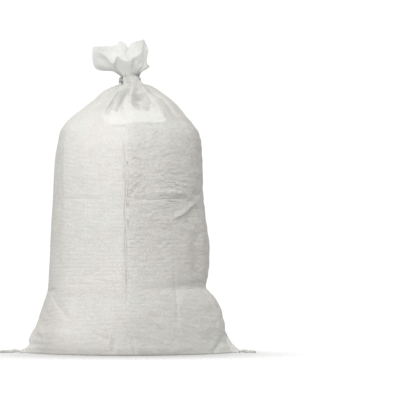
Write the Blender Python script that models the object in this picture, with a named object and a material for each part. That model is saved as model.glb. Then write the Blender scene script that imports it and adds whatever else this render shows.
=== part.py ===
"""A tied sack of woven polypropylene, full of cement, standing on its sewn end. Metres, +Z up, front towards -Y."""

import math

import bmesh
import bpy
import numpy as np

# Fabric. The wall stands for woven tape 0.2 mm thick.
WALL = 0.0010
MOUTH_WALL = 0.0012
FIN_HALF_THICKNESS = 0.0008
CLEARANCE = 0.0003
RING_POINTS = 44
SHARP_EDGE = math.radians(40)

# Body from the floor to the underside of the tie: height, reach to the left, reach to the right, half depth,
# and roundness of the ends, where 1 is a pointed lens and 2 is an ellipse.
BODY_STATIONS = (
    (0.000, 0.190, 0.186, 0.100, 1.30),
    (0.004, 0.196, 0.191, 0.109, 1.30),
    (0.012, 0.206, 0.199, 0.118, 1.30),
    (0.026, 0.216, 0.205, 0.125, 1.30),
    (0.045, 0.213, 0.2075, 0.129, 1.32),
    (0.060, 0.204, 0.207, 0.131, 1.35),
    (0.084, 0.198, 0.203, 0.133, 1.40),
    (0.108, 0.190, 0.196, 0.135, 1.45),
    (0.126, 0.184, 0.183, 0.136, 1.50),
    (0.142, 0.181, 0.167, 0.137, 1.55),
    (0.168, 0.1795, 0.173, 0.139, 1.60),
    (0.220, 0.1765, 0.1755, 0.143, 1.75),
    (0.300, 0.1725, 0.1655, 0.149, 1.90),
    (0.366, 0.170, 0.1605, 0.151, 2.00),
    (0.427, 0.1665, 0.158, 0.144, 2.00),
    (0.462, 0.159, 0.154, 0.132, 2.00),
    (0.480, 0.154, 0.147, 0.122, 2.00),
    (0.497, 0.142, 0.134, 0.108, 2.00),
    (0.514, 0.1245, 0.119, 0.093, 2.00),
    (0.531, 0.099, 0.104, 0.077, 2.00),
    (0.549, 0.0745, 0.084, 0.060, 2.00),
    (0.564, 0.057, 0.0625, 0.045, 2.00),
    (0.577, 0.034, 0.043, 0.031, 2.00),
    (0.5815, 0.025, 0.030, 0.0235, 2.00),
)

# Corners of the flat hem, which stay empty and stick out as flat ears: height, reach left, reach right.
EAR_STATIONS = (
    (0.000, 0.2390, 0.2386),
    (0.004, 0.2385, 0.2386),
    (0.012, 0.2260, 0.2290),
    (0.026, 0.2175, 0.2165),
    (0.045, 0.2135, 0.2083),
)

# Recess of the unfilled fabric between the two ridges that run up to the neck, front and back: height, left
# ridge, right ridge, and depth as a share of the half depth.
RECESS_STATIONS = (
    (0.497, -0.060, 0.077, 0.00),
    (0.514, -0.061, 0.074, 0.13),
    (0.531, -0.056, 0.068, 0.20),
    (0.549, -0.046, 0.056, 0.24),
    (0.564, -0.033, 0.042, 0.20),
    (0.577, -0.022, 0.030, 0.10),
    (0.5815, -0.018, 0.024, 0.00),
)

# Neck under the tie, and the mouth above it. The wall thickens towards the neck, where the cloth is gathered.
NECK_RADIUS = 0.0188
NECK_WALL = 0.0070
SHOULDER_WALL = 0.0056
NECK_BOTTOM = 0.5838
NECK_TOP = 0.6010

# Rim of the mouth, anticlockwise seen from above, from the left flap over the front: ridges and valleys in turn.
MOUTH_RIM = (
    (-0.082, 0.004, 0.667),
    (-0.073, -0.022, 0.663),
    (-0.062, -0.033, 0.648),
    (-0.048, -0.038, 0.639),
    (-0.036, -0.040, 0.624),
    (-0.026, -0.052, 0.640),
    (-0.019, -0.053, 0.633),
    (-0.008, -0.054, 0.628),
    (0.005, -0.053, 0.631),
    (0.010, -0.044, 0.637),
    (0.016, -0.042, 0.641),
    (0.025, -0.032, 0.651),
    (0.029, -0.018, 0.681),
    (0.029, 0.010, 0.683),
    (0.024, 0.026, 0.685),
    (0.018, 0.036, 0.685),
    (0.009, 0.046, 0.684),
    (-0.000, 0.052, 0.680),
    (-0.008, 0.046, 0.670),
    (-0.014, 0.044, 0.680),
    (-0.023, 0.050, 0.686),
    (-0.037, 0.048, 0.676),
    (-0.055, 0.040, 0.673),
    (-0.072, 0.022, 0.670),
)
# How the mouth opens out: share of the way out to the rim, and share of the way up.
MOUTH_STEPS = ((0.30, 0.12), (0.62, 0.21), (0.85, 0.34), (0.97, 0.56), (1.00, 0.78), (1.00, 1.00))

# Cement. Its heaped top is a low dome: height above the last full ring, and share of that ring.
CEMENT_TOP = 0.497
CEMENT_DOME = ((0.008, 0.84), (0.014, 0.55), (0.017, 0.20))

# Twine round the neck.
TWINE_DIAMETER = 0.0036
TWINE_TURNS = 3
TWINE_POINTS_PER_TURN = 16

# Knot at the front left: how far out it sits, in twine diameters, and its two crossed loops, each a part of an
# upright ellipse that leans out of the tie's plane.
KNOT_ANGLE = math.radians(212)
KNOT_SEAT = 1.15
KNOT_LOOP_RADIUS = 0.0036
KNOT_LOOP_HEIGHT = 0.0054
KNOT_LOOP_LEAN = 0.6
KNOT_LOOP_START = math.radians(-72)
KNOT_LOOP_END = math.radians(198)
KNOT_LOOP_POINTS = 10
KNOT_END_LENGTH = 0.010
KNOT_END_POINTS = 13
# Both free ends of the twine as one route through the knot: shares of the end's length, across, out and down.
KNOT_END_ROUTE = (
    (-0.55, 0.75, 0.35),
    (-0.30, 0.45, 0.05),
    (0.02, 0.10, 0.03),
    (0.33, 0.42, -0.05),
    (0.50, 0.80, 0.25),
)

# Free ends of the hem's thread. Each lies on the floor from the tip of its ear.
THREAD_DIAMETER = 0.0040
LEFT_TAIL_ROUTE = (
    (-0.2397, 0.0, 0.0032),
    (-0.2440, 0.0010, 0.0052),
    (-0.2500, 0.0050, 0.0050),
    (-0.2570, 0.0100, 0.0030),
    (-0.2640, 0.0110, 0.0024),
    (-0.2710, 0.0070, 0.0022),
    (-0.2770, 0.0000, 0.0022),
    (-0.2800, -0.0060, 0.0022),
)
RIGHT_TAIL_ROUTE = (
    (0.2393, 0.0, 0.0032),
    (0.2430, 0.0010, 0.0046),
    (0.2480, 0.0045, 0.0040),
    (0.2540, 0.0060, 0.0024),
    (0.2600, 0.0030, 0.0022),
    (0.2650, -0.0030, 0.0022),
    (0.2700, -0.0100, 0.0022),
)
TAIL_POINTS = 22

# Curves: steps between two given points, and segments in a quarter of a tube's ring beyond the first.
CURVE_STEPS = 24
TUBE_RESOLUTION = 2
MERGE_DISTANCE = 0.00001

# Surfaces: name, colour and roughness.
WOVEN_FABRIC = ("woven_fabric", (0.86, 0.86, 0.84), 0.55)
CEMENT_POWDER = ("cement_powder", (0.42, 0.41, 0.39), 0.95)
TWINE = ("twine", (0.45, 0.45, 0.42), 0.90)
HEM_THREAD = ("hem_thread", (0.80, 0.80, 0.77), 0.80)


def clear_scene():
    for thing in list(bpy.data.objects):
        bpy.data.objects.remove(thing, do_unlink=True)


def collection_named(name):
    group = bpy.data.collections.new(name)
    bpy.context.scene.collection.children.link(group)
    return group


def material(name, colour, roughness):
    made = bpy.data.materials.new(name)
    made.use_nodes = True
    shader = made.node_tree.nodes["Principled BSDF"]
    shader.inputs["Base Color"].default_value = (*colour, 1.0)
    shader.inputs["Roughness"].default_value = roughness
    return made


def at_height(stations, height):
    """The values of a table of stations at one height, held constant past its ends."""
    heights = [row[0] for row in stations]
    return [np.interp(height, heights, column) for column in list(zip(*stations))[1:]]


def ridge_recess(x, height):
    """How far the fabric between the two ridges is drawn in, as a share of the depth."""
    left, right, depth = at_height(RECESS_STATIONS, height)
    across = (x - (left + right) / 2) / ((right - left) / 2)
    return depth * max(0.0, 1 - across * across) ** 2


def section(height, inset=0.0, ears=True):
    """One closed ring round the body: along the front from left to right, then back along the rear."""
    left, right, depth, roundness = at_height(BODY_STATIONS, height)
    left, right, depth = left - inset, right - inset, depth - inset
    ear_left, ear_right = at_height(EAR_STATIONS, height)
    has_ears = ears and height < EAR_STATIONS[-1][0]
    reach_left = ear_left if has_ears else left
    reach_right = ear_right if has_ears else right
    edge = FIN_HALF_THICKNESS if ears else FIN_HALF_THICKNESS / 2
    middle_full = (right - left) / 2
    half_full = (right + left) / 2
    half = RING_POINTS // 2
    front = []
    for step in range(half):
        x = middle_full - half_full * math.cos(math.pi * (step - 0.5) / (half - 2))
        x = -reach_left if step == 0 else x
        x = reach_right if step == half - 1 else x
        across = (x - middle_full) / half_full
        bulge = depth * max(0.0, 1 - across * across) ** (1 / roundness)
        bulge *= 1 - ridge_recess(x, height)
        front.append((x, -math.hypot(bulge, edge)))
    rear = [(x, -y) for x, y in reversed(front)]
    return [(x, y, height) for x, y in front + rear]


def neck_ring(height, radius):
    half = RING_POINTS // 2
    front = []
    for step in range(half):
        turn = math.pi * step / (half - 1)
        front.append((-radius * math.cos(turn), -math.hypot(radius * math.sin(turn), FIN_HALF_THICKNESS / 2)))
    rear = [(x, -y) for x, y in reversed(front)]
    return [(x, y, height) for x, y in front + rear]


def through(points, closed, count):
    """Evenly spaced points on the smooth curve through the given points."""
    known = np.array(points)
    if closed:
        known = np.vstack([known[-1], known, known[0], known[1]])
    else:
        known = np.vstack([2 * known[0] - known[1], known, 2 * known[-1] - known[-2]])
    fine = []
    for index in range(1, len(known) - 2):
        before, start, end, after = known[index - 1:index + 3]
        for share in np.linspace(0, 1, CURVE_STEPS, endpoint=False):
            fine.append(0.5 * (2 * start + (end - before) * share
                               + (2 * before - 5 * start + 4 * end - after) * share ** 2
                               + (3 * start - before - 3 * end + after) * share ** 3))
    fine.append(known[-2])
    fine = np.array(fine)
    along = np.concatenate([[0], np.cumsum(np.linalg.norm(np.diff(fine, axis=0), axis=1))])
    if closed:
        wanted = along[-1] * (np.arange(count) + 0.5) / count
    else:
        wanted = np.linspace(0, along[-1], count)
    return np.column_stack([np.interp(wanted, along, fine[:, axis]) for axis in range(3)])


def mouth_rings():
    """Rings from the top of the neck up to the rim, which spread out into the rim's ridges and valleys."""
    start = np.array(neck_ring(NECK_TOP, NECK_RADIUS))
    rim = through(MOUTH_RIM, True, RING_POINTS)
    rings = []
    for outward, upward in MOUTH_STEPS:
        ring = np.empty_like(start)
        ring[:, :2] = start[:, :2] + (rim[:, :2] - start[:, :2]) * outward
        ring[:, 2] = start[:, 2] + (rim[:, 2] - start[:, 2]) * upward
        rings.append(ring)
    return rings


def moved_inward(rings, distances):
    """The rings with each point moved square to the surface by its ring's distance."""
    rings = np.array(rings)
    along = np.roll(rings, -1, axis=1) - np.roll(rings, 1, axis=1)
    upward = np.gradient(rings, axis=0)
    outward = np.cross(along, upward)
    outward /= np.linalg.norm(outward, axis=2)[:, :, None]
    return rings - outward * np.array(distances)[:, None, None]


def add_ring(mesh, ring):
    return [mesh.verts.new(point) for point in ring]


def add_band(mesh, lower, upper, inside=False):
    """Two triangles for each step round, split the same way on the outside and the inside of a wall."""
    count = len(lower)
    for index in range(count):
        after = (index + 1) % count
        for corners in ((lower[index], lower[after], upper[after]), (lower[index], upper[after], upper[index])):
            mesh.faces.new(corners[::-1] if inside else corners)


def add_cap(mesh, ring, upward):
    """A flat end that joins each point of the front to the point behind it."""
    half = len(ring) // 2
    for index in range(half - 1):
        front, front_next = ring[index], ring[index + 1]
        rear, rear_next = ring[-1 - index], ring[-2 - index]
        for corners in ((front, rear_next, front_next), (front, rear, rear_next)):
            mesh.faces.new(corners[::-1] if upward else corners)


def finish_object(mesh, name, group, surface):
    data = bpy.data.meshes.new(name)
    mesh.to_mesh(data)
    mesh.free()
    data.materials.append(surface)
    data.shade_smooth()
    data.set_sharp_from_angle(angle=SHARP_EDGE)
    made = bpy.data.objects.new(name, data)
    group.objects.link(made)
    return made


def make_sack(group):
    """The fabric: a wall of even thickness, closed at the floor and open through the neck to the mouth."""
    heights = [row[0] for row in BODY_STATIONS]
    outer = [section(height) for height in heights]
    inner = [section(height, WALL, ears=False) for height in heights[1:-1]]
    inner.insert(0, section(WALL, WALL, ears=False))
    inner.append(section(heights[-1], SHOULDER_WALL, ears=False))
    for height in (NECK_BOTTOM, NECK_TOP):
        outer.append(neck_ring(height, NECK_RADIUS))
        inner.append(neck_ring(height, NECK_RADIUS - NECK_WALL))
    mouth = mouth_rings()
    outer.extend(mouth)
    inner.extend(moved_inward(mouth, [MOUTH_WALL] * len(mouth)))
    mesh = bmesh.new()
    outside = [add_ring(mesh, ring) for ring in outer]
    inside = [add_ring(mesh, ring) for ring in inner]
    for rings, is_inside in ((outside, False), (inside, True)):
        for lower, upper in zip(rings, rings[1:]):
            add_band(mesh, lower, upper, is_inside)
    add_band(mesh, outside[-1], inside[-1])
    add_cap(mesh, outside[0], upward=False)
    add_cap(mesh, inside[0], upward=True)
    return finish_object(mesh, "sack", group, material(*WOVEN_FABRIC))


def make_cement(group):
    """The powder as one plain solid that fills the body up to a low heap under the neck."""
    inset = WALL + CLEARANCE
    heights = [row[0] for row in BODY_STATIONS if inset < row[0] <= CEMENT_TOP]
    rings = [section(height, inset, ears=False)[::2] for height in [inset] + heights]
    top = np.array(rings[-1])
    centre = top.mean(axis=0)
    for rise, share in CEMENT_DOME:
        rings.append(centre + (top - centre) * share + np.array([0, 0, rise]))
    mesh = bmesh.new()
    levels = [add_ring(mesh, ring) for ring in rings]
    for lower, upper in zip(levels, levels[1:]):
        add_band(mesh, lower, upper)
    add_cap(mesh, levels[0], upward=False)
    add_cap(mesh, levels[-1], upward=True)
    return finish_object(mesh, "cement", group, material(*CEMENT_POWDER))


def tube(name, points, diameter, surface):
    curve = bpy.data.curves.new(name, "CURVE")
    curve.dimensions = "3D"
    curve.bevel_depth = diameter / 2
    curve.bevel_resolution = TUBE_RESOLUTION
    curve.use_fill_caps = True
    spline = curve.splines.new("POLY")
    spline.points.add(len(points) - 1)
    for point, place in zip(spline.points, points):
        point.co = (*place, 1.0)
    curve.materials.append(surface)
    return bpy.data.objects.new(name, curve)


def as_mesh(thing, group):
    """The curve's own shape as a closed mesh object."""
    group.objects.link(thing)
    bpy.context.view_layer.update()
    graph = bpy.context.evaluated_depsgraph_get()
    data = bpy.data.meshes.new_from_object(thing.evaluated_get(graph))
    mesh = bmesh.new()
    mesh.from_mesh(data)
    bmesh.ops.remove_doubles(mesh, verts=mesh.verts, dist=MERGE_DISTANCE)
    bmesh.ops.recalc_face_normals(mesh, faces=mesh.faces)
    mesh.to_mesh(data)
    mesh.free()
    name = thing.name
    bpy.data.objects.remove(thing, do_unlink=True)
    data.name = name
    made = bpy.data.objects.new(name, data)
    group.objects.link(made)
    return made


def join_by_union(base, added):
    """Cuts one closed body out of two that overlap, and drops the second."""
    union = base.modifiers.new("union", "BOOLEAN")
    union.operation = "UNION"
    union.object = added
    bpy.context.view_layer.update()
    graph = bpy.context.evaluated_depsgraph_get()
    data = bpy.data.meshes.new_from_object(base.evaluated_get(graph))
    base.modifiers.remove(union)
    base.data = data
    bpy.data.objects.remove(added, do_unlink=True)


def twine_windings():
    """Points along the turns, which lie one on the other round the neck."""
    radius = (NECK_RADIUS + CLEARANCE) / math.cos(math.pi / TWINE_POINTS_PER_TURN) + TWINE_DIAMETER / 2
    pitch = TWINE_DIAMETER + CLEARANCE
    middle = (NECK_BOTTOM + NECK_TOP) / 2
    count = TWINE_TURNS * TWINE_POINTS_PER_TURN
    points = []
    for step in range(count + 1):
        turns = step / TWINE_POINTS_PER_TURN
        angle = KNOT_ANGLE + math.tau * turns
        height = middle + pitch * (turns - TWINE_TURNS / 2)
        points.append((radius * math.cos(angle), radius * math.sin(angle), height))
    return points


def knot_directions():
    """Outward, sideways and upward at the knot."""
    outward = np.array([math.cos(KNOT_ANGLE), math.sin(KNOT_ANGLE), 0.0])
    return outward, np.array([-outward[1], outward[0], 0.0]), np.array([0.0, 0.0, 1.0])


def knot_tubes(surface):
    """The two loops of the knot and the twine's free ends."""
    outward, sideways, upward = knot_directions()
    seat = outward * (NECK_RADIUS + CLEARANCE + TWINE_DIAMETER * KNOT_SEAT)
    seat = seat + upward * (NECK_BOTTOM + NECK_TOP) / 2
    tubes = []
    for tilt in (-1, 1):
        level = (sideways + KNOT_LOOP_LEAN * tilt * outward) * KNOT_LOOP_RADIUS * tilt
        rise = upward * KNOT_LOOP_HEIGHT * tilt
        turns = np.linspace(KNOT_LOOP_START, KNOT_LOOP_END, KNOT_LOOP_POINTS)
        loop = [seat + level * math.cos(turn) + rise * math.sin(turn) for turn in turns]
        tubes.append(tube("knot_loop", loop, TWINE_DIAMETER, surface))
    ends = [seat + (sideways * across + outward * away - upward * down) * KNOT_END_LENGTH
            for across, away, down in KNOT_END_ROUTE]
    tubes.append(tube("knot_ends", through(ends, False, KNOT_END_POINTS), TWINE_DIAMETER, surface))
    return tubes


def make_neck_tie(group):
    """Twine wound round the neck, with its knot at the front left, as one solid."""
    surface = material(*TWINE)
    tie = as_mesh(tube("neck_tie", twine_windings(), TWINE_DIAMETER, surface), group)
    for piece in knot_tubes(surface):
        join_by_union(tie, as_mesh(piece, group))
    tie.data.shade_smooth()
    return tie


def make_hem_tails(group):
    surface = material(*HEM_THREAD)
    for name, route in (("hem_thread_tail_left", LEFT_TAIL_ROUTE), ("hem_thread_tail_right", RIGHT_TAIL_ROUTE)):
        group.objects.link(tube(name, through(route, False, TAIL_POINTS), THREAD_DIAMETER, surface))


def main():
    clear_scene()
    group = collection_named("cement_bag")
    make_sack(group)
    make_cement(group)
    make_neck_tie(group)
    make_hem_tails(group)


main()
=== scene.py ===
import math

import bpy
import numpy as np
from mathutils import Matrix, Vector, noise


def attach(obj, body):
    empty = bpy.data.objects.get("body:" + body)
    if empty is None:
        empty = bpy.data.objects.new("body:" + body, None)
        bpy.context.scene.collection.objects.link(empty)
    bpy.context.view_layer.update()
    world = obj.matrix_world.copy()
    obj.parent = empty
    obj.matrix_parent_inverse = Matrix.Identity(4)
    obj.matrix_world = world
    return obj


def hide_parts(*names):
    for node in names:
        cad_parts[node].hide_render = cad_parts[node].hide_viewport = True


# Looks of a tied sack of woven polypropylene, full of cement. Metres, +Z up, front towards -Y.

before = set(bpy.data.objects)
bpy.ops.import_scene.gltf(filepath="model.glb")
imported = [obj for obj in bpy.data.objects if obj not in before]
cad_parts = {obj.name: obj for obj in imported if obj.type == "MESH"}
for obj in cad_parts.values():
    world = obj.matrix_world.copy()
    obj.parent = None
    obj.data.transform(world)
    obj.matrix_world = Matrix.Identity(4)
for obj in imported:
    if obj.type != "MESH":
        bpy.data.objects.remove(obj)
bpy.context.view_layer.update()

# Camera. The photograph is square, and shows the plane through the middle of the sack at one scale.
PHOTO_PIXELS = 400
METRES_PER_PIXEL = 0.002174
CAMERA_DISTANCE = 3.5
CAMERA_HEIGHT = 0.18
PHOTO_MIDDLE = Vector((0.1516, 0.0, 0.3315))
SENSOR_WIDTH = 36.0

# Light comes from the front left. The room is brighter towards the top, and the camera sees it plain white.
KEY_DIRECTION = (-0.33, -0.85, 0.42)
KEY_STRENGTH = 1.50
KEY_SOFTNESS = math.radians(30)
SKY_DIRECTION = Vector((0.0, -0.30, 0.95)).normalized()
ROOM_LOW = 0.53
ROOM_HIGH = 1.15
ROOM_COLOUR = (1.0, 0.990, 0.970, 1.0)
SHOWN_WHITE = 1.05
# The floor fades into the white room: middle of its patch, reach of the patch, and where the fade begins.
FLOOR_MIDDLE = (0.0, -0.05, 0.0)
FLOOR_REACH = (0.46, 0.29, 1.0)
FLOOR_FADE = 0.22
FLOOR_TONE = 0.62
FLOOR_SIZE = 1.2
FLOOR_ROUGHNESS = 0.9
FLOOR_GLOSS = 0.1

# Cloth and its weave.
FLAT_WIDTH = 0.500
TAPE_WIDTH = 0.0028
MOUTH_WALL = 0.0006
FIN_HALF_THICKNESS = 0.0008
COLUMNS = 288
ROW_SPACING = 0.0036
SHOULDER_ROW_SPACING = 0.0018
SHOULDER_FOOT = 0.470
BASE_ROWS = 8
MOUTH_ROWS = 38
# The first row of the underside is this share of a row from the line of the hem.
FIRST_BASE_ROW = 0.12
# Folds grow from nothing on the floor to their full size at this height, and no cloth is under the lowest.
SETTLED_HEIGHT = 0.006
LOWEST_CLOTH = 0.0002
# Points on a section, heights up the body, and points from one given point of a curve to the next.
OUTLINE_STEPS = 400
HEIGHT_STEPS = 600
CURVE_STEPS = 24
# A line counts as upright below this sine of its angle. A normal is never divided by less than the second.
NEARLY_UPRIGHT = 0.1
SMALLEST_NORMAL = 1e-12

# Body from the floor to the underside of the tie: height, reach to the left, reach to the right, half depth,
# and roundness of the ends, where 1 is a pointed lens and 2 is an ellipse.
BODY_STATIONS = (
    (0.000, 0.224, 0.222, 0.112, 1.10),
    (0.004, 0.223, 0.221, 0.115, 1.12),
    (0.012, 0.220, 0.217, 0.120, 1.18),
    (0.026, 0.2165, 0.209, 0.125, 1.26),
    (0.045, 0.213, 0.2075, 0.129, 1.32),
    (0.060, 0.204, 0.207, 0.131, 1.35),
    (0.084, 0.198, 0.203, 0.133, 1.40),
    (0.108, 0.190, 0.196, 0.135, 1.45),
    (0.126, 0.184, 0.183, 0.136, 1.50),
    (0.142, 0.181, 0.167, 0.137, 1.55),
    (0.168, 0.1795, 0.173, 0.139, 1.60),
    (0.220, 0.1765, 0.1755, 0.143, 1.75),
    (0.300, 0.1725, 0.1655, 0.149, 1.90),
    (0.366, 0.170, 0.1605, 0.151, 2.00),
    (0.427, 0.1665, 0.158, 0.144, 2.00),
    (0.462, 0.159, 0.154, 0.132, 2.00),
    (0.480, 0.154, 0.147, 0.122, 2.00),
    (0.497, 0.142, 0.134, 0.108, 2.00),
    (0.514, 0.1245, 0.119, 0.093, 2.00),
    (0.531, 0.099, 0.104, 0.077, 2.00),
    (0.549, 0.0745, 0.084, 0.060, 2.00),
    (0.564, 0.057, 0.0625, 0.045, 2.00),
    (0.577, 0.034, 0.043, 0.031, 2.00),
    (0.5815, 0.025, 0.030, 0.0235, 2.00),
)
# Corners of the flat hem: height, reach left, reach right.
EAR_STATIONS = (
    (0.000, 0.2390, 0.2386),
    (0.004, 0.2385, 0.2386),
    (0.012, 0.2240, 0.2290),
    (0.0185, 0.2160, 0.2225),
    (0.026, 0.2185, 0.2165),
    (0.045, 0.2135, 0.2083),
)
# Recess of the unfilled fabric: height, left ridge, right ridge, and depth as a share of the half depth.
RECESS_STATIONS = (
    (0.497, -0.060, 0.077, 0.00),
    (0.514, -0.061, 0.074, 0.13),
    (0.531, -0.056, 0.068, 0.20),
    (0.549, -0.046, 0.056, 0.24),
    (0.564, -0.033, 0.042, 0.20),
    (0.577, -0.022, 0.030, 0.10),
    (0.5815, -0.018, 0.024, 0.00),
)

# Neck, and how far its pleats stand out at each height: coarse pleats, then fine ones.
NECK_RADIUS = 0.0186
NECK_BOTTOM = 0.5838
NECK_TOP = 0.6010
NECK_ROWS = 13
PLEAT_STATIONS = (
    (0.470, 0.0000, 0.0000),
    (0.510, 0.0014, 0.0000),
    (0.540, 0.0036, 0.0003),
    (0.562, 0.0044, 0.0009),
    (0.577, 0.0026, 0.0016),
    (0.586, 0.0006, 0.0014),
    (0.598, 0.0004, 0.0010),
    (0.606, 0.0006, 0.0007),
    (0.616, 0.0004, 0.0003),
    (0.690, 0.0000, 0.0001),
)
COARSE_PLEATS = 9
FINE_PLEATS = 23
# They are spaced unevenly: size of each wave in their phase, waves in a turn, and where the wave starts.
COARSE_UNEVENNESS = ((1.1, 2, 0.7), (0.6, 3, 2.0))
FINE_UNEVENNESS = ((1.6, 1, 1.9), (0.9, 4, 0.0), (0.5, 7, 0.0))
PLEAT_SHARPNESS = 1.6
# The front has folds of its own: its direction and half its angle, the share of the pleats that it loses, and
# the share of the fine ones that it keeps above the tie.
FRONT_DIRECTION = 1.5 * math.pi
FRONT_HALF_ANGLE = 0.95
FRONT_PLEATS_LOST = 0.85
FINE_ABOVE_TIE = 0.35
# Loose pleats at the front hang over the tie: how far they stand out, how soon they do so from their foot and
# from their head, and for each direction in degrees, where 270 is the front, the heights of both.
COVER_HEIGHT = 0.0070
COVER_FOOT = 0.0110
COVER_HEAD = 0.0080
COVER_SKIRT = 0.0034
SKIRT_REACH = 0.0065
COVER_STATIONS = (
    (228.0, 0.5880, 0.5930),
    (236.0, 0.5740, 0.6070),
    (284.0, 0.5740, 0.6090),
    (300.0, 0.5740, 0.6075),
    (318.0, 0.5740, 0.6030),
    (328.0, 0.5840, 0.5890),
)

# Mouth. Each rib runs from the neck to the rim, and the ribs go round anticlockwise seen from above, from
# the left flap over the front. A point is given as it shows from the front, on the plane through the middle:
# metres to the right, metres of depth towards the back, and height.
MOUTH_RIBS = (
    ((-0.04, 0, 0.6135), (-0.062, 0, 0.6145), (-0.0765, -0.003, 0.6205), (-0.0825, -0.007, 0.64),
     (-0.0821, -0.008, 0.6663)),
    ((-0.038, -0.007, 0.613), (-0.06, -0.011, 0.617), (-0.0725, -0.017, 0.629), (-0.0775, -0.025, 0.648),
     (-0.0745, -0.033, 0.6664)),
    ((-0.034, -0.012, 0.6125), (-0.053, -0.018, 0.6185), (-0.062, -0.024, 0.63), (-0.066, -0.028, 0.643),
     (-0.064, -0.042, 0.654)),
    ((-0.03, -0.017, 0.6115), (-0.044, -0.023, 0.618), (-0.05, -0.028, 0.628), (-0.053, -0.033, 0.637),
     (-0.051, -0.046, 0.6435)),
    ((-0.024, -0.019, 0.6095), (-0.032, -0.025, 0.615), (-0.036, -0.032, 0.621), (-0.0386, -0.044, 0.63)),
    ((-0.02, -0.022, 0.608), (-0.027, -0.029, 0.618), (-0.0295, -0.039, 0.632), (-0.0288, -0.048, 0.647)),
    ((-0.014, -0.024, 0.608), (-0.019, -0.031, 0.618), (-0.0215, -0.04, 0.63), (-0.0215, -0.047, 0.64)),
    ((-0.008, -0.025, 0.608), (-0.01, -0.033, 0.618), (-0.0105, -0.042, 0.628), (-0.01, -0.047, 0.635)),
    ((0, -0.025, 0.608), (0.001, -0.033, 0.618), (0.002, -0.042, 0.628), (0.0027, -0.046, 0.6375)),
    ((0.007, -0.024, 0.609), (0.01, -0.03, 0.619), (0.01, -0.034, 0.631), (0.0082, -0.04, 0.6425)),
    ((0.012, -0.022, 0.609), (0.018, -0.026, 0.62), (0.019, -0.029, 0.633), (0.0147, -0.036, 0.647)),
    ((0.016, -0.018, 0.61), (0.025, -0.021, 0.621), (0.027, -0.024, 0.636), (0.0234, -0.03, 0.6555)),
    ((0.02, -0.017, 0.61), (0.033, -0.018, 0.621), (0.0325, -0.018, 0.637), (0.032, -0.017, 0.656),
     (0.0284, -0.014, 0.6835)),
    ((0.024, -0.008, 0.611), (0.0415, -0.01, 0.6225), (0.0345, -0.013, 0.632), (0.0372, -0.011, 0.65),
     (0.0382, -0.009, 0.662), (0.0295, 0.006, 0.6815)),
    ((0.023, 0.004, 0.611), (0.037, 0.008, 0.6222), (0.034, 0.012, 0.64), (0.034, 0.016, 0.66),
     (0.0245, 0.026, 0.6812)),
    ((0.02, 0.011, 0.61), (0.029, 0.019, 0.622), (0.03, 0.03, 0.648), (0.019, 0.036, 0.68)),
    ((0.015, 0.016, 0.61), (0.02, 0.026, 0.622), (0.018, 0.038, 0.65), (0.011, 0.046, 0.6775)),
    ((0.01, 0.02, 0.609), (0.012, 0.03, 0.622), (0.008, 0.042, 0.65), (0.002, 0.052, 0.673)),
    ((0.003, 0.02, 0.609), (0.002, 0.03, 0.622), (-0.003, 0.04, 0.646), (-0.006, 0.046, 0.664)),
    ((-0.005, 0.021, 0.609), (-0.007, 0.03, 0.622), (-0.011, 0.04, 0.65), (-0.012, 0.044, 0.6735)),
    ((-0.012, 0.02, 0.609), (-0.017, 0.03, 0.62), (-0.02, 0.042, 0.65), (-0.021, 0.05, 0.679)),
    ((-0.018, 0.018, 0.609), (-0.026, 0.028, 0.618), (-0.033, 0.04, 0.645), (-0.034, 0.048, 0.6695)),
    ((-0.024, 0.016, 0.61), (-0.038, 0.024, 0.617), (-0.05, 0.034, 0.64), (-0.053, 0.04, 0.6675)),
    ((-0.032, 0.009, 0.612), (-0.052, 0.013, 0.616), (-0.066, 0.018, 0.64), (-0.0705, 0.022, 0.6668)),
)
RIB_CRISPNESS = 0.30

# Every fold: how steep its sides are, the share of its height at its two ends, and the share of its length
# over which it grows from there.
FOLD_STEEPNESS = 1.8
FOLD_AT_ENDS = 0.15
END_FADE = 0.22
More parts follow.
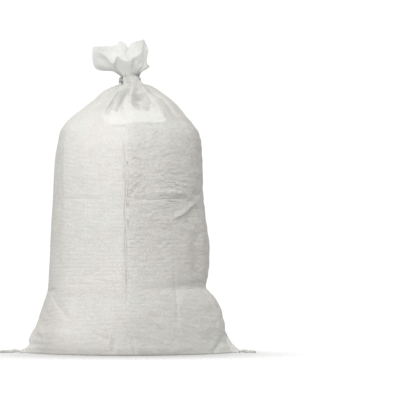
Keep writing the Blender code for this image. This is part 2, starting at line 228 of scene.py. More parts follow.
# Folds of the front, as they show in the photograph: route in its pixels, height of the fold in metres, which
# is below zero for a valley, and half width in pixels. Two widths are for the right and the left hand of
# someone who goes along the route, and make a fold with one steep side.
FRONT_FOLDS = (
    # packing fold across the middle
    (((54, 198.5), (80, 198.4), (110, 199)), -0.0006, 1.8),
    (((128, 199), (150, 199.4), (170, 199.2), (190, 199)), -0.0024, 1.8),
    (((146, 194), (160, 193.3), (187, 192.6)), 0.0017, 1.8),
    # crumple where it meets the right side
    (((168, 191.5), (183, 194), (196, 200)), 0.0032, 1.9),
    (((172, 184), (184, 185.5), (195, 187.5)), 0.0018, 2),
    (((194, 191.5), (201, 197)), -0.004, 3),
    (((198, 200), (183.3, 213), (171, 219)), 0.0034, 2),
    (((197, 205), (191, 217), (188, 228)), -0.0028, 5),
    (((197, 228), (198, 255), (196, 282)), -0.0036, 7),
    (((201, 201), (203, 226), (205, 250)), 0.0014, 2.4),
    # packing fold down the middle
    (((122, 130), (124.6, 160), (126, 200), (126.2, 255), (127.4, 330)), -0.0012, 2.6),
    (((130, 186.5), (137, 181.5), (145, 175)), -0.0022, 2.4),
    # second fold from top to bottom, on the right
    (((173, 258), (176, 300), (179, 338)), -0.001, 2),
    # waist on the right
    (((172, 287.5), (188, 285.6), (202, 283), (211, 284)), -0.0017, 3),
    (((180, 293), (196, 291.5), (212, 293)), 0.0012, 3.4),
    (((199, 284), (209, 291.5), (216, 303), (219.5, 320), (220, 337)), 0.0016, 2.2),
    # lower right corner
    (((212, 324), (204, 317)), 0.0013, 2.2),
    (((212, 324), (219, 314)), 0.0013, 2.2),
    (((212, 324), (222, 331)), 0.0012, 2),
    (((212, 324), (205, 334)), 0.0011, 2.2),
    (((223.5, 338), (219, 346), (213, 353)), -0.0036, 2.4),
    (((222.5, 335), (224, 338.5)), -0.002, 1.6),
    # foot
    (((112.7, 339), (112.7, 354)), -0.003, 2.4),
    (((131.5, 336), (135, 354)), -0.0014, 2),
    (((89, 330.6), (100, 336.2), (111, 341)), -0.0012, 1.8),
    (((150, 341), (158, 350)), -0.001, 2.4),
    (((176, 340), (171, 352)), -0.001, 2.4),
    # lower left corner
    (((50, 288), (56.7, 302.7), (64, 315), (69, 322)), -0.0028, 4),
    (((44, 307), (46.6, 319)), -0.0018, 2.2),
    (((45, 290.5), (55, 290.5)), -0.0022, 1.8),
    (((50, 341), (41, 337), (31, 335)), -0.0021, 2.6),
    (((46, 343), (40, 331), (36, 321)), 0.0024, 2.2),
    (((52, 345), (41, 344), (31, 343.6)), -0.0019, 2.2),
    (((46, 343), (36, 340.4), (30, 339.4)), 0.0015, 1.8),
    (((47, 346.5), (36, 348), (25, 349.6)), 0.0016, 1.8),
    (((46, 344), (50, 352)), -0.0012, 1.8),
    # faint folds low on the left half
    (((60, 284.8), (75, 284.2), (90, 284.8)), -0.0006, 1.8),
    (((81, 275.3), (98, 274.6)), -0.0005, 1.8),
    (((96, 273.5), (102, 266.5)), -0.0007, 1.8),
    # edge of the left side
    (((65.5, 118), (64, 150), (63, 230), (61, 286)), 0.001, (3.2, 5)),
    (((60.5, 126), (58, 160), (57, 230), (55, 284)), -0.0024, (6, 6)),
    # unfilled fabric between the two ridges under the neck
    (((119.5, 89.5), (114.5, 96), (110, 102.5), (105.8, 109), (102.8, 118)), 0.0044, (2.4, 1.4)),
    (((102, 116), (105, 122.5), (112, 125), (121, 125.4), (128, 123.5)), 0.003, (2.4, 1.2)),
    (((126, 123.5), (134, 122), (153, 122.6), (164, 122), (166.5, 118)), 0.0026, (2.4, 1.2)),
    (((140.5, 86), (146, 91.6), (151, 101), (158, 110), (166.5, 121)), 0.0046, (1.8, 2.6)),
    # deep pleats either side of the middle one
    (((129.4, 86), (128, 91), (124.8, 97), (121.4, 103), (117, 112)), -0.015, (5.2, 0.8)),
    (((132.6, 84), (133, 92), (131.2, 107)), 0.012, (3, 4.2)),
    (((134.8, 86), (137.4, 94), (143, 107)), -0.005, (5, 11)),
    (((136.2, 93.5), (138.8, 99.5), (143.5, 108)), -0.0135, (5, 10)),
    (((128.6, 102), (134, 104.2), (143, 107.2), (149, 109.8)), -0.0165, (0.8, 6.5)),
    (((129.6, 84.6), (132, 88), (134.3, 90.4)), -0.003, 1.3),
    (((124.6, 103), (124.8, 122)), 0.0007, 1.2),
    (((116, 98), (112.5, 106), (109, 116)), -0.0042, (2, 4)),
    (((127.5, 103), (133, 112)), 0.0009, 1.5),
    (((143, 88), (149, 98)), -0.002, (2, 1.2)),
    # mouth: dents in its front on the right, and the gathers over the tie
    (((132.4, 57.6), (135, 60.4), (138, 62.8)), -0.003, 2.4),
    (((138.2, 62.8), (141.3, 65.2)), -0.0022, 1.9),
    (((126.4, 70), (127.6, 78), (127, 86)), -0.0026, 1.6),
    (((131.8, 72), (131.2, 80), (130.2, 86)), -0.0016, 1.3),
    (((124, 73), (124.6, 82)), 0.0014, 1.4),
    (((129.6, 80), (134, 81), (139, 79.6)), 0.0014, 1.2),
    (((97, 63), (104, 65.5), (111, 67)), 0.001, 2.4),
)
# Sharp creases of the front: route in the photograph's pixels, and how deep the crease is beside the others.
# The material draws them, and they are thinner than the surface's own rows and columns.
SHARP_CREASES = (
    (((121.6, 118), (123.2, 140), (125, 160), (125.2, 178), (126.8, 188), (126, 200),
      (125.4, 214), (126, 232), (125.8, 252), (127.4, 274), (127, 290), (127.6, 322)), 1),
    (((131.3, 186.8), (128.6, 192), (126.8, 198.8)), -0.8),
    (((132.2, 201.4), (129, 207.5), (126.2, 213)), 0.5),
    (((133, 219.5), (130.6, 224.6), (128.6, 229.6)), -0.35),
    (((134, 199.6), (150, 200), (170, 199), (188, 199.4)), 0.65),
    (((58, 199), (84, 198.6), (112, 199.4)), 0.3),
    (((146, 192.4), (163, 191.6), (181, 190.8)), -0.5),
    (((165, 184), (177, 188), (188, 193), (198, 200)), -1),
    (((199, 201.5), (184, 214), (169, 222)), -1),
    (((200, 205), (201, 220), (204, 238)), 0.7),
    (((128.5, 192), (133, 185.5), (140, 179.5), (149, 175)), -0.9),
    (((131, 195), (137, 188), (146, 183)), 0.8),
    (((149, 175), (157, 176.5), (164, 182)), -0.7),
    (((128, 160), (135, 157), (144, 160)), -0.6),
    (((166, 172), (176, 175.5), (190, 174)), 0.6),
    (((168, 177), (180, 180.5), (194, 181)), -0.5),
    (((160, 206), (173, 204.5), (183, 207.5)), 0.5),
    (((119.4, 89.6), (114.3, 96), (110.2, 102.5), (106, 109), (103.2, 118.5)), -0.7),
    (((141, 86.5), (145.8, 91.6), (151, 101), (158.5, 110.5), (166, 121)), -0.8),
    (((103, 120.5), (110.6, 124.6), (120.9, 125.2), (133.7, 122.4), (152, 122.8), (165, 121.5)), -0.5),
    (((125, 103), (124.6, 121)), 0.5),
    (((129.2, 86), (127.8, 91), (124.4, 97), (121, 103), (117.4, 110.5)), 1),
    (((133, 88), (133, 94), (131.8, 103.5)), 0.8),
    (((131.4, 103.6), (137, 105.4), (146, 108.8), (153, 112)), 0.9),
    (((152, 226), (168, 231), (181, 230)), 0.35),
    (((150, 252), (166, 248), (186, 253)), 0.3),
    (((160, 158), (174, 154), (188, 158)), 0.45),
    (((60, 284.6), (78, 284), (94, 285)), 0.25),
    (((80, 274.6), (92, 274.8), (103, 267)), 0.2),
    (((100, 278), (114, 280.5), (126, 279)), -0.4),
    (((174, 262), (176, 292), (179, 332)), 0.3),
    (((186, 290), (201, 287), (209, 288.5)), 0.6),
    (((112.5, 334), (112.9, 352)), 0.5),
    (((132, 334), (134.6, 352)), 0.5),
    (((90, 331), (100, 336.4), (111, 341.4)), 0.3),
    (((50, 292), (56, 303), (63, 314)), 0.5),
    (((66, 126), (63.6, 150), (63.2, 196)), -0.5),
    (((58.6, 140), (57, 170), (56.4, 200)), 0.6),
)
# In pixels but for the depth: a crease ends at its reach, and fades before it. The last is for no crease.
CREASE_HALF_WIDTH = 1.15
CREASE_DEPTH = 0.0017
CREASE_REACH = 5.0
CREASE_FADE = 1.5
NO_CREASE = 99.0
# Fine creases of the cloth run across more than up: share of their rate along each axis.
CREASE_STRETCH = (0.75, 0.75, 1.25)

# Folds of the mouth's back wall, whose inside the photograph shows, in the same way.
MOUTH_BACK_FOLDS = (
    (((106.8, 46.2), (112.5, 50.6), (120.9, 55)), 0.0014, 1.3),
    (((127, 48), (126, 55), (127, 60)), 0.002, 1.6),
    (((136.5, 42), (134.5, 54)), 0.0009, 1.2),
    (((139.8, 41), (138.2, 53)), 0.0009, 1.2),
    (((131.5, 44), (130.5, 55)), -0.0009, 1.4),
)
# Outline of the smooth cloth under the neck, which has no powder behind it, in the photograph's pixels.
SMOOTH_PANEL = (
    (119, 88), (112.5, 96), (108.4, 102.5), (104.6, 109), (102.4, 116), (104.2, 121.7), (110.6, 124.3),
    (120.9, 124.9), (133.7, 122.4), (153, 122.5), (163, 122.3), (166.3, 119.2), (163, 111), (155, 100),
    (146, 90), (141, 85), (141, 30), (119, 30),
)
PANEL_EMPTINESS = 0.42
PANEL_EDGE = 2.4
# The gathers of the neck lie on each other, and up to this height pass less light than the open mouth.
GATHER_HEIGHT = 0.024
# Light passes through the loose cloth of the mouth: how empty it is there, how much, and how deep it goes.
GLOWS_BETWEEN = (0.9, 1.0)
THIN_CLOTH_GLOW = 0.55
THIN_CLOTH_DEPTH = 0.0030
# The flat corners of the hem are empty too, from this far out and under this height.
EAR_EMPTINESS = 0.3
EAR_FROM = 0.200
EAR_FADE = 0.030
EAR_TOP = 0.05
# Painted shade and light by place: the cloth is painted greyer on its right half, along its left side and
# towards its foot, where less light falls: axis, two places on it in metres, and the tone at both. The third
# row is painted light, which keeps the hem's left corner lighter than the side over it.
PAINTED_SHADE_AND_LIGHT = (
    ("X", -0.014, 0.022, 0.990, 0.920),
    ("X", -0.180, -0.126, 0.845, 1.0),
    ("X", -0.230, -0.180, 1.14, 1.0),
    ("Z", 0.000, 0.160, 0.945, 1.0),
)

# The filled front leans away to both sides of the fold down its middle: the fold's place across, how far the
# front stands out there, how far to each side the lean reaches, and the heights where it begins and ends.
FACET_FOLD = -0.004
FACET_RISE = 0.014
FACET_REACH = 0.120
FACET_HEIGHTS = (0.020, 0.090, 0.440, 0.500)
# The lean's section: how fast it falls, two numbers that end it further out, and the height on it that lies
# on the plain body.
FACET_STEEPNESS = 1.15
FACET_CUT = 1.25
FACET_FALL = 0.35
FACET_PLAIN = 0.35
# The fold is rounder below its branch: two heights, and the share of the reach that is rounded at both.
ROUNDING_HEIGHTS = (0.300, 0.370)
ROUNDING = (0.16, 0.05)

# Folds of the back: route as metres to the right and up, seen from the front, height, and half width.
BACK_FOLDS = (
    (((0.004, 0.47), (-0.003, 0.3), (0.002, 0.16), (-0.002, 0.04)), -0.0017, 0.0036),
    (((-0.006, 0.44), (-0.01, 0.26), (-0.006, 0.08)), 0.0009, 0.0042),
    (((-0.15, 0.335), (-0.06, 0.333), (0.02, 0.336), (0.145, 0.333)), -0.0014, 0.004),
    (((0.08, 0.348), (0.02, 0.336), (-0.04, 0.31)), 0.0016, 0.0044),
    (((-0.12, 0.19), (-0.06, 0.17), (-0.02, 0.175)), -0.0022, 0.007),
    (((0.06, 0.145), (0.11, 0.12), (0.16, 0.135)), -0.0024, 0.0075),
    (((0.095, 0.42), (0.07, 0.38), (0.075, 0.3)), -0.0018, 0.008),
    (((-0.1, 0.43), (-0.085, 0.37), (-0.105, 0.29)), -0.0016, 0.008),
    (((-0.06, 0.06), (-0.052, 0)), -0.003, 0.005),
    (((0.045, 0.05), (0.05, 0)), -0.0022, 0.005),
    (((0.12, 0.06), (0.16, 0.03)), -0.002, 0.006),
    (((-0.13, 0.075), (-0.175, 0.03)), -0.0024, 0.006),
    (((-0.012, 0.582), (-0.03, 0.545), (-0.048, 0.505)), -0.004, 0.0046),
    (((0.008, 0.582), (0.016, 0.545), (0.04, 0.5)), -0.004, 0.0046),
    (((-0.002, 0.58), (-0.006, 0.54), (0.002, 0.505)), 0.0024, 0.005),
)

# Crumples in the cloth itself: size of each, and how far it moves the surface.
CRUMPLES = ((0.110, 0.0016), (0.045, 0.0007))
# The right half of the front is crumpled more: size of the dents across and up, and their depth, over which
# distance they set in, and how far they slant.
RIGHT_CRUMPLES = ((0.030, 0.012, 0.00130), (0.015, 0.009, 0.00055))
DENTS_FADE = 0.05
DENTS_SLANT = 0.35
# Where it counts as rumpled: from this place to the right and between two heights, and how soon each sets in.
# The dents end at the same top.
RUMPLED_FROM = -0.008
RUMPLED_SIDE_FADE = 0.012
RUMPLED_FOOT = 0.14
RUMPLED_FOOT_FADE = 0.12
CREASED_TOP = 0.53
RUMPLED_TOP_FADE = 0.06

# Twine round the neck, laid up of strands that are tubes with a few sides. Its two ends meet in a knot at the
# front left, with two loops.
TWINE_DIAMETER = 0.0036
TWINE_CLEARANCE = 0.0006
TWINE_TURNS = 3
TWINE_PITCH = TWINE_DIAMETER + 0.0003
TURN_STEPS = 60
TWINE_STRANDS = 3
TWINE_STRAND_RADIUS = TWINE_DIAMETER * 0.29
TWINE_STRAND_OFFSET = TWINE_DIAMETER * 0.22
TWINE_LAY = TWINE_DIAMETER * 3.2
TUBE_SIDES = 6
KNOT_ANGLE = math.radians(215)
KNOT_SEAT = TWINE_DIAMETER * 1.15
KNOT_LOOP_RADIUS = 0.0036
KNOT_LOOP_RISE = 1.5 * KNOT_LOOP_RADIUS
KNOT_LOOP_SLANT = 0.6
KNOT_LOOP_TURN = (-0.4 * math.pi, 1.1 * math.pi)
KNOT_LOOP_STEPS = 26
KNOT_END_STEPS = 40
KNOT_END_LENGTH = 0.009
KNOT_END_ROUTE = (
    (-0.40, 0.25, 0.85),
    (-0.30, 0.35, 0.25),
    (0.02, 0.10, 0.03),
    (0.33, 0.32, -0.05),
    (0.50, 0.30, 0.45),
)

# Free ends of the hem's thread. Each lies on the floor from the tip of its ear.
THREAD_DIAMETER = 0.0040
THREAD_STRANDS = 6
THREAD_STRAND_RADIUS = THREAD_DIAMETER * 0.31
THREAD_LAY = THREAD_DIAMETER * 3.2
# Strands start laid up at the hem, and then stand off in waves: how far, and from which share of the length.
THREAD_LAID = 0.24
THREAD_LOOSE = 0.54
LOOSE_FROM = 0.2
LOOSE_MEAN = 0.64
LOOSE_SWING = 0.36
LOOSE_WAVES = 2.3
LOOSE_WAVE_STEP = 0.37
TAIL_STEPS = 90
LEFT_TAIL_ROUTE = (
    (-0.2397, 0.0, 0.0032),
    (-0.2440, 0.0010, 0.0052),
    (-0.2500, 0.0050, 0.0050),
    (-0.2570, 0.0100, 0.0030),
    (-0.2640, 0.0110, 0.0024),
    (-0.2710, 0.0070, 0.0022),
    (-0.2770, 0.0000, 0.0022),
    (-0.2800, -0.0060, 0.0022),
)
RIGHT_TAIL_ROUTE = (
    (0.2393, 0.0, 0.0032),
    (0.2430, 0.0010, 0.0046),
    (0.2480, 0.0045, 0.0040),
    (0.2540, 0.0060, 0.0024),
    (0.2600, 0.0030, 0.0022),
    (0.2650, -0.0030, 0.0022),
    (0.2700, -0.0100, 0.0022),
)

# Tints of the filled cloth, which mix in patches, and of the cloth with no powder behind it, which is whiter
# and is painted lighter still, as painted light for the light that comes through the thin cloth of the mouth.
FILLED_TINTS = ((0.795, 0.767, 0.732, 1.0), (0.781, 0.786, 0.752, 1.0))
EMPTY_PAINTED_LIGHT_TINT = (0.955, 0.965, 0.935, 1.0)
BROAD_SHARE = 0.45
# A value between the first two numbers becomes one between the last two. The tones multiply the tint.
MOTTLE_SHARE = (0.40, 0.60, 0.0, 1.0)
TAPE_TONES = (0.0, 2.0, 0.985, 1.015)
# Painted shade: the weave is darker where it is low, in the hollows between and beside the tapes.
HOLLOW_SHADE_TONES = (0.0, 0.9, 0.90, 1.01)
CROSSING_TONES = (0.0, 1.0, 0.95, 1.04)
# Painted sheen and shade: crossings where one tape is on top are lighter, and those where the other is on top
# darker.
TAPE_SHEEN_TONES = (-1.0, 1.0, 0.93, 1.06)
PATCH_TONES = (0.3, 0.7, 0.975, 1.02)
EDGE_HEIGHTS = (0.0, 1.0, 1.0, 0.25)
EDGE_POWER = 6.0
CLOTH_ROUGHNESS = (0.3, 0.7, 0.42, 0.60)
RUMPLED_SHARE = (0.0, 1.0, 0.8, 1.55)
FIBRE_SHARE = (0.3, 0.7, 0.0, 1.0)
# Share of the tones that is lost where the cloth is empty.
TONE_LOST = 0.75
CLOTH_GLOSS = 0.20
FIBRE_GLOSS = 0.2
FIBRE_ROUGHNESS = 0.88
# Noise: rate a metre, detail and roughness. The rate of the fibres is below.
BROAD_NOISE = (7.0, 2.0, 0.55)
PATCH_NOISE = (34.0, 4.0, 0.6)
GRAIN_NOISE = (240.0, 3.0, 0.7)
CREASE_NOISE = (90.0, 5.0, 0.62)
FIBRE_NOISE = (4.0, 0.7)
# Bumps: height in metres, and strength.
CREASE_BUMP = (0.0040, 0.8)
WEAVE_BUMP = (0.0008, 0.8)
FIBRE_BUMP = (0.0004, 0.8)
# Colours of thread and twine, painted light on the ridges and painted shade between them, and their fibres'
# rate.
THREAD_COLOURS = ((0.68, 0.68, 0.66, 1.0), (0.45, 0.45, 0.43, 1.0))
TWINE_COLOURS = ((0.58, 0.58, 0.55, 1.0), (0.34, 0.34, 0.32, 1.0))
THREAD_FIBRES = 1600.0
TWINE_FIBRES = 1400.0


# Camera

def camera_axes():
    """Where the camera is, and its right, up and forward directions."""
    place = np.array([PHOTO_MIDDLE.x, -CAMERA_DISTANCE, CAMERA_HEIGHT])
    forward = np.array(PHOTO_MIDDLE) - place
    forward /= np.linalg.norm(forward)
    right = np.array([1.0, 0.0, 0.0])
    return place, right, np.cross(right, forward), forward


def focal_pixels():
    place = camera_axes()[0]
    return np.linalg.norm(np.array(PHOTO_MIDDLE) - place) / METRES_PER_PIXEL


def photo_place(points):
    """Column and row of the photograph where each point of the scene shows."""
    place, right, up, forward = camera_axes()
    away = points - place
    scale = focal_pixels() / (away @ forward)
    return PHOTO_PIXELS / 2 + away @ right * scale, PHOTO_PIXELS / 2 - away @ up * scale


def behind(point):
    """The place at its own depth of a point given as it shows on the plane through the middle."""
    across, depth, height = point
    nearer = (CAMERA_DISTANCE + depth) / CAMERA_DISTANCE
    return (PHOTO_MIDDLE.x + (across - PHOTO_MIDDLE.x) * nearer, depth,
            CAMERA_HEIGHT + (height - CAMERA_HEIGHT) * nearer)


def add_object(name, data):
    made = bpy.data.objects.new(name, data)
    bpy.context.scene.collection.objects.link(made)
    return made


def make_camera():
    data = bpy.data.cameras.new("camera")
    data.sensor_width = SENSOR_WIDTH
    data.lens = SENSOR_WIDTH * focal_pixels() / PHOTO_PIXELS
    camera = add_object("camera", data)
    place, _, _, forward = camera_axes()
    camera.location = place
    camera.rotation_euler = Vector(forward).to_track_quat("-Z", "Y").to_euler()
    bpy.context.scene.camera = camera


# Curves and tubes

def limited(values):
    return np.clip(values, 0, 1)


def eased(share):
    """A share from 0 to 1 that starts and ends slowly."""
    return share * share * (3 - 2 * share)


def steps_of(points):
    """Length of each step from point to point."""
    return np.linalg.norm(np.diff(points, axis=0), axis=1)


def running_total(steps):
    """Sum of the steps before each point, from 0 at the first."""
    return np.concatenate([[0], np.cumsum(steps)])


def between(before, start, end, after, share):
    """The place at a share of the way from start to end, on the smooth curve through all four."""
    return 0.5 * (2 * start + (end - before) * share
                  + (2 * before - 5 * start + 4 * end - after) * share ** 2
                  + (3 * start - before - 3 * end + after) * share ** 3)


def through(points, count):
    """Evenly spaced points on the smooth open curve through the given points."""
    known = np.array(points, float)
    known = np.vstack([2 * known[0] - known[1], known, 2 * known[-1] - known[-2]])
    fine = []
    for index in range(1, len(known) - 2):
        for share in np.linspace(0, 1, CURVE_STEPS, endpoint=False):
            fine.append(between(*known[index - 1:index + 3], share))
    fine = np.array([*fine, known[-2]])
    along = running_total(steps_of(fine))
    wanted = np.linspace(0, along[-1], count)
    return np.column_stack([np.interp(wanted, along, fine[:, axis]) for axis in range(3)])


def side_directions(points):
    """Two directions square to the line at each of its points, which turn with it as little as they can."""
    ahead = np.gradient(points, axis=0)
    ahead /= np.linalg.norm(ahead, axis=1)[:, None]
    side = np.cross(ahead[0], [0.0, 0.0, 1.0])
    if np.linalg.norm(side) < NEARLY_UPRIGHT:
        side = np.cross(ahead[0], [1.0, 0.0, 0.0])
    sides = []
    for direction in ahead:
        side = side - direction * (side @ direction)
        side = side / np.linalg.norm(side)
        sides.append(side)
    sides = np.array(sides)
    return sides, np.cross(ahead, sides)


def tube_mesh(points, radius):
    """Points and faces of one closed tube."""
    verts = []
    for centre, one, two in zip(points, *side_directions(points)):
        for corner in range(TUBE_SIDES):
            turn = math.tau * corner / TUBE_SIDES
            verts.append(centre + (one * math.cos(turn) + two * math.sin(turn)) * radius)
    faces = []
    for ring in range(len(points) - 1):
        low, high = ring * TUBE_SIDES, (ring + 1) * TUBE_SIDES
        for corner in range(TUBE_SIDES):
            after = (corner + 1) % TUBE_SIDES
            faces.append((low + corner, low + after, high + after, high + corner))
    last = (len(points) - 1) * TUBE_SIDES
    faces.append(tuple(range(TUBE_SIDES - 1, -1, -1)))
    faces.append(tuple(range(last, last + TUBE_SIDES)))
    return verts, faces


def strands_round(points, count, strand_radius, offset, pitch, phase=0.0, lowest=0.0):
    """Tubes for strands laid up round a line, as in twine. None goes below the lowest height."""
    first, second = side_directions(points)
    along = running_total(steps_of(points))
    tubes = []
    for strand in range(count):
        turn = phase + math.tau * (strand / count + along / pitch)
        line = points + (first * np.cos(turn)[:, None] + second * np.sin(turn)[:, None]) * offset
        line[:, 2] = np.maximum(line[:, 2], lowest)
        tubes.append(tube_mesh(line, strand_radius))
    return tubes


def add_mesh(name, verts, faces, surface):
    data = bpy.data.meshes.new(name)
    data.from_pydata([tuple(vert) for vert in verts], [], faces)
    data.materials.append(surface)
    data.shade_smooth()
    return add_object(name, data)


def object_from(name, tubes, surface):
    """One mesh object made of several closed tubes."""
    verts, faces = [], []
    for tube_verts, tube_faces in tubes:
        start = len(verts)
        verts.extend(tube_verts)
        faces.extend(tuple(start + corner for corner in face) for face in tube_faces)
    return add_mesh(name, verts, faces, surface)


# Shape of the sack

def smooth_at(stations, heights):
    """The columns of a table of stations at the given heights, on a curve with no overshoot between them."""
    table = np.array(stations)
    knots = table[:, 0]
    steps = np.diff(knots)
    index = np.clip(np.searchsorted(knots, heights, side="right") - 1, 0, len(knots) - 2)
    share = limited((heights - knots[index]) / steps[index])
    square, cube = share ** 2, share ** 3
    values = []
    for column in table[:, 1:].T:
        slopes = np.diff(column) / steps
        tangents = np.zeros_like(column)
        same_way = slopes[:-1] * slopes[1:] > 0
        inner = np.zeros(len(slopes) - 1)
        inner[same_way] = 2 / (1 / slopes[:-1][same_way] + 1 / slopes[1:][same_way])
        tangents[1:-1] = inner
        tangents[0], tangents[-1] = slopes[0], slopes[-1]
        start_rise, end_rise = tangents[index] * steps[index], tangents[index + 1] * steps[index]
        values.append((2 * cube - 3 * square + 1) * column[index] + (cube - 2 * square + share) * start_rise
                      + (3 * square - 2 * cube) * column[index + 1] + (cube - square) * end_rise)
    return values


def values_at(stations, height):
    """The columns of a table of stations at one height."""
    return [float(value[0]) for value in smooth_at(stations, np.array([height]))]


def half_outline(height):
    """Front half of the section at one height, from the left tip to the right tip, evenly spaced along it."""
    left, right, depth, roundness = values_at(BODY_STATIONS, height)
    reach_left, reach_right = left, right
    ears_top = EAR_STATIONS[-1][0]
    if height < ears_top:
        ear_left, ear_right = values_at(EAR_STATIONS, height)
        reach_left, reach_right = max(ear_left, left), max(ear_right, right)
    across = -np.cos(np.linspace(0, math.pi, OUTLINE_STEPS))
    x = (right - left) / 2 + (right + left) / 2 * across
    bulge = depth * limited(1 - across ** 2) ** (1 / roundness)
    if RECESS_STATIONS[0][0] < height < RECESS_STATIONS[-1][0]:
        ridge_left, ridge_right, share = values_at(RECESS_STATIONS, height)
        from_middle = (x - (ridge_left + ridge_right) / 2) / ((ridge_right - ridge_left) / 2)
        bulge = bulge * (1 - share * limited(1 - from_middle ** 2) ** 2)
    fin = FIN_HALF_THICKNESS * limited(1 - height / (2 * ears_top))
    y = -np.hypot(bulge, fin)
    x = np.concatenate([[-reach_left, -reach_left], x, [reach_right, reach_right]])
    y = np.concatenate([[0.0, -fin], y, [-fin, 0.0]])
    along = running_total(np.hypot(np.diff(x), np.diff(y)))
    wanted = np.linspace(0, along[-1], COLUMNS // 2 + 1)
    return np.interp(wanted, along, x), np.interp(wanted, along, y)


def body_ring(height):
    """One closed ring of points round the sack, from the left tip over the front."""
    x, y = half_outline(height)
    ring_x = np.concatenate([x, x[-2:0:-1]])
    ring_y = np.concatenate([y, -y[-2:0:-1]])
    return np.column_stack([ring_x, ring_y, np.full(COLUMNS, height)])


def neck_angles():
    return math.pi + math.tau * np.arange(COLUMNS) / COLUMNS


def neck_ring(height):
    turn = neck_angles()
    return np.column_stack([NECK_RADIUS * np.cos(turn), NECK_RADIUS * np.sin(turn), np.full(COLUMNS, height)])


def base_rings():
    """The underside, which closes along the line of the hem."""
    rings = []
    for step in range(BASE_ROWS):
        ring = body_ring(0.0)
        ring[:, 1] *= (step + FIRST_BASE_ROW) / BASE_ROWS
        rings.append(ring)
    return rings


def body_rings():
    """Rings a row apart along the cloth, from the floor to the tie."""
    fine = np.linspace(0, BODY_STATIONS[-1][0], HEIGHT_STEPS)
    left, right, depth, _ = smooth_at(BODY_STATIONS, fine)
    mean_radius = (left + right) / 4 + depth / 2
    spacing = np.where(fine[1:] < SHOULDER_FOOT, ROW_SPACING, SHOULDER_ROW_SPACING)
    along = running_total(np.hypot(np.diff(fine), np.diff(mean_radius)) / spacing)
    heights = np.interp(np.linspace(0, along[-1], int(along[-1])), along, fine)
    return [body_ring(height) for height in heights]


def neck_rings():
    return [neck_ring(height) for height in np.linspace(NECK_BOTTOM, NECK_TOP, NECK_ROWS)]


def round_ribs(values):
    """Values at each rib spread over the columns, on a closed curve that keeps some crispness at the ribs."""
    count = len(values)
    place = np.arange(COLUMNS) * count / COLUMNS
    index = place.astype(int)
    share = (place - index)[:, None]
    before, start, end, after = (values[(index + step) % count] for step in (-1, 0, 1, 2))
    smooth = between(before, start, end, after, share)
    straight = start + (end - start) * share
    return smooth + (straight - smooth) * RIB_CRISPNESS


def mouth_rings():
    """Rings from the neck to the rim."""
    ribs = []
    for number, points in enumerate(MOUTH_RIBS):
        turn = math.pi + math.tau * number / len(MOUTH_RIBS)
        start = (NECK_RADIUS * math.cos(turn), NECK_RADIUS * math.sin(turn), NECK_TOP)
        ribs.append(through((start, *map(behind, points)), MOUTH_ROWS + 1))
    ribs = np.array(ribs)
    return [round_ribs(ribs[:, row]) for row in range(1, MOUTH_ROWS + 1)]


def normals_of(grid):
    """Outward directions of a grid of rings."""
    around = np.roll(grid, -1, axis=1) - np.roll(grid, 1, axis=1)
    upward = np.gradient(grid, axis=0)
    outward = np.cross(around, upward)
    size = np.linalg.norm(outward, axis=2)[:, :, None]
    return outward / np.maximum(size, SMALLEST_NORMAL)


def beside_route(across, up, route):
    """How far each point is to the right hand of a route, below zero to its left, and how far along it."""
    route = np.array(route, float)
    lengths = steps_of(route)
    starts = running_total(lengths)
    nearest = np.full(across.shape, np.inf)
    signed = np.zeros(across.shape)
    share = np.zeros(across.shape)
    for start, step, length, before in zip(route, np.diff(route, axis=0), lengths, starts):
        ahead_x, ahead_y = step / length
        from_x, from_y = across - start[0], up - start[1]
        along = np.clip(from_x * ahead_x + from_y * ahead_y, 0, length)
        away = np.hypot(from_x - ahead_x * along, from_y - ahead_y * along)
        side = ahead_x * from_y - ahead_y * from_x
        closer = away < nearest
        nearest = np.where(closer, away, nearest)
        signed = np.where(closer, np.copysign(away, side), signed)
        share = np.where(closer, (before + along) / starts[-1], share)
    return signed, share


def end_fade(share):
    """From 0 at both ends of a route to 1 along its middle."""
    return eased(limited(np.minimum(share, 1 - share) / END_FADE))


def fold_height(across, up, route, height, width):
    """How far one fold moves each point: full along its route, fading beside it and at its ends."""
    right_hand, left_hand = width if isinstance(width, tuple) else (width, width)
    away, share = beside_route(across, up, route)
    half_width = np.where(away > 0, right_hand, left_hand)
    profile = np.exp(1 - np.sqrt(1 + (FOLD_STEEPNESS * away / half_width) ** 2))
    return height * profile * (FOLD_AT_ENDS + (1 - FOLD_AT_ENDS) * end_fade(share))


def folded(across, up, folds):
    moved = np.zeros(across.shape)
    for fold in folds:
        moved += fold_height(across, up, *fold)
    return moved


def front_folds(grid):
    """Folds that the photograph shows, on the half that faces the camera and on the mouth's back wall."""
    across, up = photo_place(grid)
    facing = np.zeros(COLUMNS)
    facing[:COLUMNS // 2 + 1] = 1.0
    mouth_back = (1 - facing) * (grid[:, :, 2] > NECK_TOP)
    return folded(across, up, FRONT_FOLDS) * facing + folded(across, up, MOUTH_BACK_FOLDS) * mouth_back


def facets(grid):
    """The lean of the front and the back to both sides of their middle fold."""
    across = np.abs(grid[:, :, 0] - FACET_FOLD) / FACET_REACH
    rounding = np.interp(grid[:, :, 2], ROUNDING_HEIGHTS, ROUNDING)
    tent = np.exp(-(np.hypot(rounding, across) - rounding) * FACET_STEEPNESS)
    tent *= limited(FACET_CUT - FACET_FALL * across)
    level = eased(np.interp(grid[:, :, 2], FACET_HEIGHTS, (0.0, 1.0, 1.0, 0.0)))
    return FACET_RISE * (tent - FACET_PLAIN) * level


def back_folds(grid):
    facing = np.zeros(COLUMNS)
    facing[COLUMNS // 2:] = 1.0
    facing[0] = 1.0
    return folded(grid[:, :, 0], grid[:, :, 2], BACK_FOLDS) * facing


def pleat_waves(count, unevenness):
    """Pleats round the neck, from -1 in the grooves to 1 on top."""
    turn = neck_angles()
    phase = count * turn / 2
    for size, waves, start in unevenness:
        phase = phase + size * np.sin(waves * turn + start)
    return 1 - 2 * (1 - np.abs(np.sin(phase))) ** PLEAT_SHARPNESS


